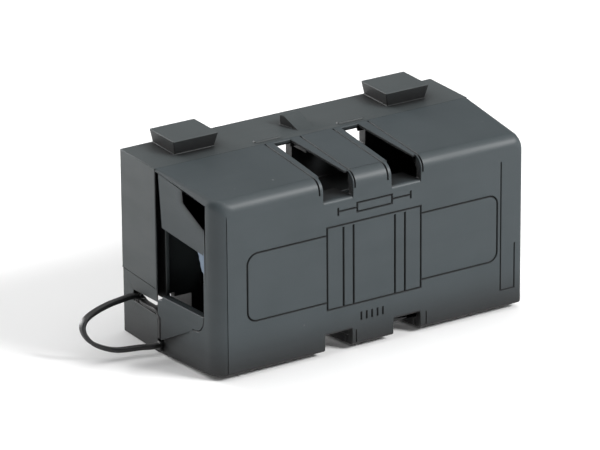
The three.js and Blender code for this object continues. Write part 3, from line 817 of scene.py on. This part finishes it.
route = smooth_route(LOOP, 8)
wide_along = []
for i, point in enumerate(route):
    within_wall = point.x > IN_WALL - 0.6 and i > len(route) / 2
    wide_along.append(Vector((1, 0, 0)) if within_wall else Vector((0, 1, 0)))
tether = sweep_band("tether", route, wide_along)
root = block((-HALF_LENGTH - 0.1, -HALF_LENGTH + 1.2), (SEAM - 1.3, SEAM - 0.1), (-19.2, -17.2), "root")
carve(tether, add=[root])
soften(tether, 0.1, angle=40)
print("strap runs over", round(sum((b - a).length for a, b in zip(route, route[1:])), 1), "mm")
to_frame(tether, None, ["strap"])
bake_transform(tether)

# %% [markdown]
# ## Studs, nuts and the fuse
#
# These already have their right shape and size in the frame. The studs are rebuilt with a real M5
# thread, a ridge that climbs 0.8 mm a turn, because the cover comes off and shows them. The others
# keep the frame's mesh and get a small bevel, so that their edges catch light as cut metal does.

# %% Threaded studs
THREAD = {"radius": 2.5, "pitch": 0.8, "depth": 0.42, "start": SEAT - 0.2, "sides": 28}


def threaded_stud(hand):
    """Shank and head, a core, and a ridge that winds around it and fades in and out."""
    low, high = node_box(f"stud_{hand}")
    x, radius, end = STUDS[hand], THREAD["radius"], low.y
    sides, pitch, depth = THREAD["sides"], THREAD["pitch"], THREAD["depth"]
    profile = [(0.0, -depth), (0.12, -depth), (0.44, 0.0), (0.56, 0.0), (0.88, -depth)]
    turns = int((THREAD["start"] - end - 0.7) / pitch)
    rows = []
    for step in range(turns * sides + 1):
        angle = 2 * math.pi * step / sides
        base_y = THREAD["start"] - 0.3 - pitch * step / sides
        fade = min(1.0, step / (sides * 0.6), (turns * sides - step) / (sides * 0.6))
        row = []
        for share, inward in profile:
            r = radius + inward if inward < 0 else radius - depth * (1 - fade)
            row.append((x + r * math.cos(angle), base_y - share * pitch, r * math.sin(angle)))
        rows.append(row)
    wide = len(profile)
    faces = [[s * wide + i, s * wide + i + 1, (s + 1) * wide + i + 1, (s + 1) * wide + i]
             for s in range(len(rows) - 1) for i in range(wide - 1)]
    ridge = new_piece("ridge", [point for row in rows for point in row], faces)
    inner = radius - depth
    core = rod(inner + 0.03, x, 0, end + 0.5, SEAT, 40)
    around = [2 * math.pi * k / 40 for k in range(40)]
    rings = (inner + 0.03, end + 0.55), (inner - 0.02, end + 0.2), (inner - 0.25, end)
    tip = loft("tip", [[(x + r * math.cos(t), y, r * math.sin(t)) for t in around] for r, y in rings])
    shank = rod(radius, x, 0, SEAT - 0.25, high.y, 40, "shank")
    head = hexagon(8.0, x, 0, -4.4, -0.9)
    soften(head, 0.2)
    for part in (core, tip, head, ridge):
        join_into(shank, part)
    shank.name = f"threaded_stud_{hand}"
    return shank


def join_into(piece, other):
    """Adds another piece's faces to a piece without cutting either."""
    shaper = bmesh.new()
    shaper.from_mesh(piece.data)
    shaper.from_mesh(other.data)
    shaper.to_mesh(piece.data)
    shaper.free()
    bpy.data.objects.remove(other)


for hand in STUDS:
    to_frame(threaded_stud(hand), "base", [f"stud_{hand}"], sharp=30)

# %% Small bevels on the kept nodes
PAIRS = {"contact_plate": 0.12, "flat_washer": 0.1, "spring_washer": 0.08, "nut": 0.1, "mounting_sleeve": 0.12}
FUSE = {"element": 0.06, "body_lower": 0.2, "body_upper": 0.2, "window": 0.1, "rivet_1": 0.15, "rivet_2": 0.15}
bevels = {f"{node}_{hand}": width for node, width in PAIRS.items() for hand in STUDS}
bevels |= {f"fuse_{part}": width for part, width in FUSE.items()}
for node, width in bevels.items():
    kept = frame["nodes"][node]
    step = kept.modifiers.new("soft edges", "BEVEL")
    step.width = width * MM
    step.segments = 2
    step.limit_method = "ANGLE"
    step.angle_limit = math.radians(35)
    step.use_clamp_overlap = True
print("bevelled nodes:", len(bevels))

# %% [markdown]
# ## Finishes
#
# Three effects serve several materials, so each is a node group. `moulding grain` is the fine
# spark-eroded texture and the faint flow clouds of a moulded face. `handling marks` are the specks and
# hair scratches of a part that has been in a drawer. Both read object coordinates, so they stay put as
# parts move. The third group feels how open a point is to its surroundings and paints shade into the
# colour, so that slots and the inside go darker than the outer faces.

# %% Node group tools


def new_group(name, inputs, outputs):
    """Empty node group with its sockets, and its input and output nodes."""
    group = bpy.data.node_groups.new(name, "ShaderNodeTree")
    for label, kind, value in inputs:
        socket = group.interface.new_socket(label, in_out="INPUT", socket_type=kind)
        if value is not None:
            socket.default_value = value
    for label, kind in outputs:
        group.interface.new_socket(label, in_out="OUTPUT", socket_type=kind)
    return group, group.nodes.new("NodeGroupInput"), group.nodes.new("NodeGroupOutput")


def add_node(tree, kind, links=(), **settings):
    """Adds a shader node; links are (input name, value or output socket)."""
    node = tree.nodes.new("ShaderNode" + kind)
    for key, value in settings.items():
        setattr(node, key, value)
    for name, value in links:
        socket = node.inputs[name]
        if isinstance(value, bpy.types.NodeSocket):
            tree.links.new(value, socket)
        else:
            socket.default_value = value
    return node


def ramp(tree, value, low, high, to_low=0.0, to_high=1.0):
    """Maps a value from one range to another."""
    node = add_node(tree, "MapRange", [("Value", value), ("From Min", low), ("From Max", high),
                                       ("To Min", to_low), ("To Max", to_high)])
    return node.outputs["Result"]


def noise(tree, vector, scale, detail, roughness=0.5):
    return add_node(tree, "TexNoise", [("Vector", vector), ("Scale", scale), ("Detail", detail),
                                       ("Roughness", roughness)])


def times(tree, first, second):
    return add_node(tree, "Math", [(0, first), (1, second)], operation="MULTIPLY").outputs[0]


# %% Moulding grain
grain, grain_in, grain_out = new_group(
    "moulding grain",
    [("Grain size", "NodeSocketFloat", 4000.0), ("Cloud size", "NodeSocketFloat", 90.0)],
    [("Height", "NodeSocketFloat"), ("Clouds", "NodeSocketFloat"), ("Flow", "NodeSocketFloat")],
)
place = add_node(grain, "TexCoord").outputs["Object"]
fine = noise(grain, place, grain_in.outputs["Grain size"], 2.0, 0.6)
clouds = noise(grain, place, grain_in.outputs["Cloud size"], 3.0, 0.55)
stretch = add_node(grain, "Mapping", [("Vector", place), ("Scale", (18.0, 60.0, 220.0))])
flow = noise(grain, stretch.outputs["Vector"], 1.0, 4.0)
grain.links.new(fine.outputs["Fac"], grain_out.inputs["Height"])
grain.links.new(ramp(grain, clouds.outputs["Fac"], 0.35, 0.65), grain_out.inputs["Clouds"])
grain.links.new(ramp(grain, flow.outputs["Fac"], 0.4, 0.62), grain_out.inputs["Flow"])

# %% Handling marks
marks_group, marks_in, marks_out = new_group(
    "handling marks",
    [("Amount", "NodeSocketFloat", 0.5)],
    [("Scratches", "NodeSocketFloat"), ("Specks", "NodeSocketFloat")],
)
place = add_node(marks_group, "TexCoord").outputs["Object"]
bend = noise(marks_group, place, 70.0, 1.0)
bent = add_node(marks_group, "MixRGB", [("Fac", 0.012), ("Color1", place), ("Color2", bend.outputs["Color"])])
turned = add_node(marks_group, "Mapping", [("Vector", bent.outputs["Color"]), ("Rotation", (0.5, 0.9, 0.7)),
                                           ("Scale", (60.0, 900.0, 900.0))])
hairs = add_node(marks_group, "TexVoronoi", [("Vector", turned.outputs["Vector"]), ("Scale", 1.0)],
                 feature="F1")
hair_mask = ramp(marks_group, hairs.outputs["Distance"], 0.07, 0.02)
where = noise(marks_group, place, 45.0, 1.0)
where_mask = ramp(marks_group, where.outputs["Fac"], 0.6, 0.68)
hair_scaled = times(marks_group, times(marks_group, hair_mask, where_mask), marks_in.outputs["Amount"])
dots = add_node(marks_group, "TexVoronoi", [("Vector", place), ("Scale", 260.0)], feature="F1")
dot_mask = ramp(marks_group, dots.outputs["Distance"], 0.075, 0.04)
rare = add_node(marks_group, "SeparateColor", [("Color", dots.outputs["Color"])])
rare_mask = ramp(marks_group, rare.outputs["Red"], 0.93, 0.95)
dot_scaled = times(marks_group, times(marks_group, dot_mask, rare_mask), marks_in.outputs["Amount"])
marks_group.links.new(hair_scaled, marks_out.inputs["Scratches"])
marks_group.links.new(dot_scaled, marks_out.inputs["Specks"])

# %% Painted shade for slots and the inside
painted_shade_group, painted_shade_in, painted_shade_out = new_group("painted recess shade", [
    ("Reach", "NodeSocketFloat", 0.006), ("Closed", "NodeSocketFloat", 0.4), ("Free", "NodeSocketFloat", 0.9),
], [("Open", "NodeSocketFloat")])
# Painted shade: ambient occlusion within the reach tells how open a point is, and closed places get their
# colour darkened.
open_sky = add_node(painted_shade_group, "AmbientOcclusion", [("Distance", painted_shade_in.outputs["Reach"])], samples=12)
openness = ramp(painted_shade_group, open_sky.outputs["AO"], painted_shade_in.outputs["Closed"], painted_shade_in.outputs["Free"])
painted_shade_group.links.new(openness, painted_shade_out.inputs["Open"])
print("node groups:", sorted(group.name for group in (grain, marks_group, painted_shade_group)))

# %% Material tools


def place_group(tree, group, values):
    node = tree.nodes.new("ShaderNodeGroup")
    node.node_tree = group
    for name, value in values:
        node.inputs[name].default_value = value
    return node


def mix_colour(tree, share, first, second):
    node = add_node(tree, "MixRGB", [("Fac", share), ("Color1", first), ("Color2", second)])
    return node.outputs["Color"]


def new_material(name, **settings):
    material = bpy.data.materials.new(name)
    material.use_nodes = True
    shader = material.node_tree.nodes["Principled BSDF"]
    for key, value in settings.items():
        shader.inputs[key.replace("_", " ")].default_value = value
    return material, material.node_tree, shader


def finish_surface(tree, shader, texture, colour, roughness, bump, distance):
    """Feeds a colour, roughness that follows the flow, and the grain's relief to the shader."""
    tree.links.new(colour, shader.inputs["Base Color"])
    tree.links.new(ramp(tree, texture.outputs["Flow"], 0, 1, *roughness), shader.inputs["Roughness"])
    relief = add_node(tree, "Bump", [("Height", texture.outputs["Height"]), ("Strength", bump),
                                     ("Distance", distance)])
    tree.links.new(relief.outputs["Normal"], shader.inputs["Normal"])


# %% [markdown]
# ### Moulded plastic
#
# The housing is a glass-filled nylon: charcoal with a cool cast, matt enough that it never mirrors,
# with a soft sheen. Colour and roughness drift a little in clouds, specks and hair scratches lie on top,
# and shade is painted into the colour where a point is shut in, falling off towards black. The base is a
# shade lighter than the cover, partly as its own moulding's tone and partly as painted light for the
# brighter light on its ends. The strap is the same idea in a blacker, smoother plastic, and the torn web
# in a pale, rough one.

# %% Housing, torn plastic and strap
# Painted shade: the occlusion reach, and the near-black colour that shut-in places are painted with.
PAINTED_SHADE = {"reach": 0.012, "colour": (0.0012, 0.0014, 0.0018, 1)}
SCUFF = (0.16, 0.17, 0.175, 1)
SATIN = (0.5, 0.58)


def moulded_plastic(name, dark, light, mark, roughness, grain_size, bump, amount, shade):
    """Plastic between two colours, with shade painted in: shade gives the openness at which it is black and the
    openness at which it keeps its colour.
    """
    material, tree, shader = new_material(name)
    texture = place_group(tree, grain, [("Grain size", grain_size)])
    wear = place_group(tree, marks_group, [("Amount", amount)])
    colour = mix_colour(tree, texture.outputs["Clouds"], dark, light)
    colour = mix_colour(tree, wear.outputs["Specks"], colour, mark)
    colour = mix_colour(tree, wear.outputs["Scratches"], colour, mark)
    # Painted shade: the colour falls towards near-black where little around a point is open.
    painted_shade_node = place_group(tree, painted_shade_group, [("Reach", PAINTED_SHADE["reach"]), ("Closed", shade[0]), ("Free", shade[1])])
    colour = mix_colour(tree, painted_shade_node.outputs["Open"], PAINTED_SHADE["colour"], colour)
    finish_surface(tree, shader, texture, colour, roughness, bump, 0.00004)
    return material


cover_plastic = moulded_plastic("charcoal_cover_nylon", (0.026, 0.036, 0.0405, 1), (0.03, 0.0405, 0.0455, 1),
                                SCUFF, SATIN, 3600.0, 0.35, 0.7, (0.56, 0.94))
# The base's colour is lighter than the cover's, partly its own moulding's tone and partly painted light for the
# brighter light on its ends.
base_plastic_partly_painted_light = moulded_plastic("charcoal_base_nylon_partly_painted_light", (0.032, 0.04, 0.042, 1), (0.037, 0.0455, 0.0475, 1),
                               SCUFF, SATIN, 3600.0, 0.35, 0.7, (0.5, 0.93))
strap_plastic = moulded_plastic("black_flexible_strap", (0.009, 0.009, 0.01, 1), (0.013, 0.013, 0.014, 1),
                                (0.08, 0.08, 0.08, 1), (0.42, 0.52), 2200.0, 0.2, 0.4, (0.4, 0.9))
torn_plastic = moulded_plastic("stress_whitened_plastic", (0.09, 0.13, 0.19, 1), (0.2, 0.25, 0.32, 1),
                               (0.3, 0.33, 0.38, 1), (0.6, 0.7), 5000.0, 0.6, 0.3, (0.0, 0.5))

# %% [markdown]
# ### Metals and the fuse's own plastics
#
# Studs, washers and nuts are zinc-plated steel, the plates and the fuse element are tinned copper, and
# the sleeves are turned brass. They share one recipe, a metal whose roughness runs in fine streaks. The
# fuse's body is a dark blue plastic of the housing's kind, with a clear window over the element.

# %% Metals


def plated_metal(name, dark, light, roughness, streak):
    """Plated or drawn metal: colour clouds, and roughness that runs in fine streaks."""
    material, tree, shader = new_material(name, Metallic=1.0)
    texture = place_group(tree, grain, [("Grain size", streak), ("Cloud size", 500.0)])
    wear = place_group(tree, marks_group, [("Amount", 0.8)])
    colour = mix_colour(tree, texture.outputs["Clouds"], dark, light)
    colour = mix_colour(tree, wear.outputs["Scratches"], colour, light)
    finish_surface(tree, shader, texture, colour, roughness, 0.12, 0.00002)
    return material


zinc = plated_metal("zinc_plated_steel", (0.5, 0.51, 0.52, 1), (0.66, 0.67, 0.69, 1), (0.26, 0.4), 3000.0)
tin = plated_metal("tinned_copper", (0.58, 0.56, 0.52, 1), (0.72, 0.71, 0.68, 1), (0.32, 0.46), 2400.0)
brass = plated_metal("turned_brass", (0.5, 0.36, 0.13, 1), (0.64, 0.48, 0.2, 1), (0.28, 0.4), 2600.0)

# %% Fuse plastic and its window
fuse_plastic = moulded_plastic("dark_blue_fuse_plastic", (0.008, 0.013, 0.045, 1), (0.012, 0.019, 0.06, 1),
                               (0.1, 0.12, 0.18, 1), (0.36, 0.46), 3000.0, 0.15, 0.4, (0.2, 0.8))
window, window_tree, window_shader = new_material("clear_fuse_window", Roughness=0.08, IOR=1.5,
                                                  Transmission_Weight=0.9)
haze = place_group(window_tree, grain, [("Cloud size", 400.0)]).outputs["Clouds"]
haze = mix_colour(window_tree, haze, (0.82, 0.86, 0.88, 1), (0.9, 0.93, 0.94, 1))
window_tree.links.new(haze, window_shader.inputs["Base Color"])

FINISHES = {
    "housing": base_plastic_partly_painted_light, "strap": strap_plastic, "zinc_steel": zinc, "tinned_copper": tin,
    "brass_sleeve": brass, "fuse_plastic": fuse_plastic, "fuse_window": window,
}


def paint(piece, material):
    piece.data.materials.clear()
    piece.data.materials.append(material)


paint(cover_shell, cover_plastic)
paint(base_tray, base_plastic_partly_painted_light)
paint(torn_web, torn_plastic)
paint(tether, strap_plastic)
for hand in STUDS:
    paint(bpy.data.objects[f"threaded_stud_{hand}"], zinc)
node_slots = {row["node"]: row["material_slot"] for row in frame["record"]["subparts"]}
for node, kept in frame["nodes"].items():
    finish = FINISHES[node_slots[node]]
    if not kept.material_slots:
        kept.data.materials.append(finish)
    for place in kept.material_slots:
        place.material = finish
print("finishes:", sorted(m.name for m in FINISHES.values()))

# %% [markdown]
# ## Floor, light and camera
#
# The holder stands on a plain white sweep. A small key box, above and to the right of the front, draws
# the bright line along the rounded upper edge. A broad box overhead fills the top, and one low behind
# grazes the ends. The surround is brighter near the horizon than overhead, so upright faces stay a
# little lighter than level ones. The camera sees a white backdrop, and stands a metre away with a long
# lens, so the box hardly narrows towards the back.

# %% Floor
floor = new_piece("floor", [(-3, -3, 0), (3, -3, 0), (3, 3, 0), (-3, 3, 0)], [[0, 1, 2, 3]])
floor.location.z = BASE_LOW.z * MM
paper, paper_tree, paper_shader = new_material("white_paper", Roughness=0.9, Specular_IOR_Level=0.2)
paper_grain = place_group(paper_tree, grain, [("Grain size", 900.0), ("Cloud size", 6.0)])
paper_white = mix_colour(paper_tree, paper_grain.outputs["Clouds"], (0.9, 0.9, 0.9, 1), (0.93, 0.93, 0.93, 1))
paper_tree.links.new(paper_white, paper_shader.inputs["Base Color"])
paint(floor, paper)

# %% Lights
HORIZON, ZENITH = 0.55, 0.2
world = bpy.data.worlds.new("studio")
bpy.context.scene.world = world
world.use_nodes = True
tree = world.node_tree
direction = add_node(tree, "TexCoord").outputs["Generated"]
height = add_node(tree, "SeparateXYZ", [("Vector", direction)]).outputs["Z"]
glow = ramp(tree, height, 0.35, 0.6, HORIZON, ZENITH)
surround = tree.nodes["Background"]
tree.links.new(glow, surround.inputs["Strength"])
surround.inputs["Color"].default_value = (1, 1, 1, 1)
backdrop = add_node(tree, "Background", [("Strength", 1.1)])
seen = add_node(tree, "LightPath")
choose = add_node(tree, "MixShader", [(0, seen.outputs["Is Camera Ray"]), (1, surround.outputs[0]),
                                      (2, backdrop.outputs[0])])
tree.links.new(choose.outputs[0], tree.nodes["World Output"].inputs["Surface"])


def soft_box(name, place, size, power):
    """Rectangular light that faces the holder."""
    lamp = bpy.data.lights.new(name, "AREA")
    lamp.shape = "RECTANGLE"
    lamp.size, lamp.size_y = size
    lamp.energy = power
    box = bpy.data.objects.new(name, lamp)
    box.location = place
    box.rotation_euler = (-Vector(place)).to_track_quat("-Z", "Y").to_euler()
    bpy.context.scene.collection.objects.link(box)
    return box


soft_box("key_box", (0.5, -0.66, 0.57), (0.3, 0.3), 10.5)
soft_box("overhead_box", (0.1, 0.1, 0.9), (0.9, 0.7), 4.5)
soft_box("back_box", (-0.3, 0.95, 0.2), (0.4, 0.4), 11)
print("soft boxes: 3, world strength", HORIZON, "at the horizon and", ZENITH, "overhead")

# %% Camera
CAMERA = {"azimuth": -32.213, "elevation": 21.694, "roll": -0.406, "distance": 1.004828, "lens": 295.26}
AIM = Vector((-0.001607, -0.010691, -0.00098))
azimuth, elevation = math.radians(CAMERA["azimuth"]), math.radians(CAMERA["elevation"])
level = math.cos(elevation)
back = Vector((math.sin(azimuth) * level, -math.cos(azimuth) * level, math.sin(elevation)))
camera = bpy.data.objects.new("camera", bpy.data.cameras.new("camera"))
camera.data.lens = CAMERA["lens"]
camera.data.sensor_width = 36
camera.location = AIM + back * CAMERA["distance"]
turn = (-back).to_track_quat("-Z", "Y").to_matrix() @ Matrix.Rotation(math.radians(CAMERA["roll"]), 3, "Z")
camera.rotation_euler = turn.to_euler()
bpy.context.scene.collection.objects.link(camera)
bpy.context.scene.camera = camera
bpy.context.scene.view_settings.view_transform = "Standard"
print("camera at", [round(v, 4) for v in camera.location])
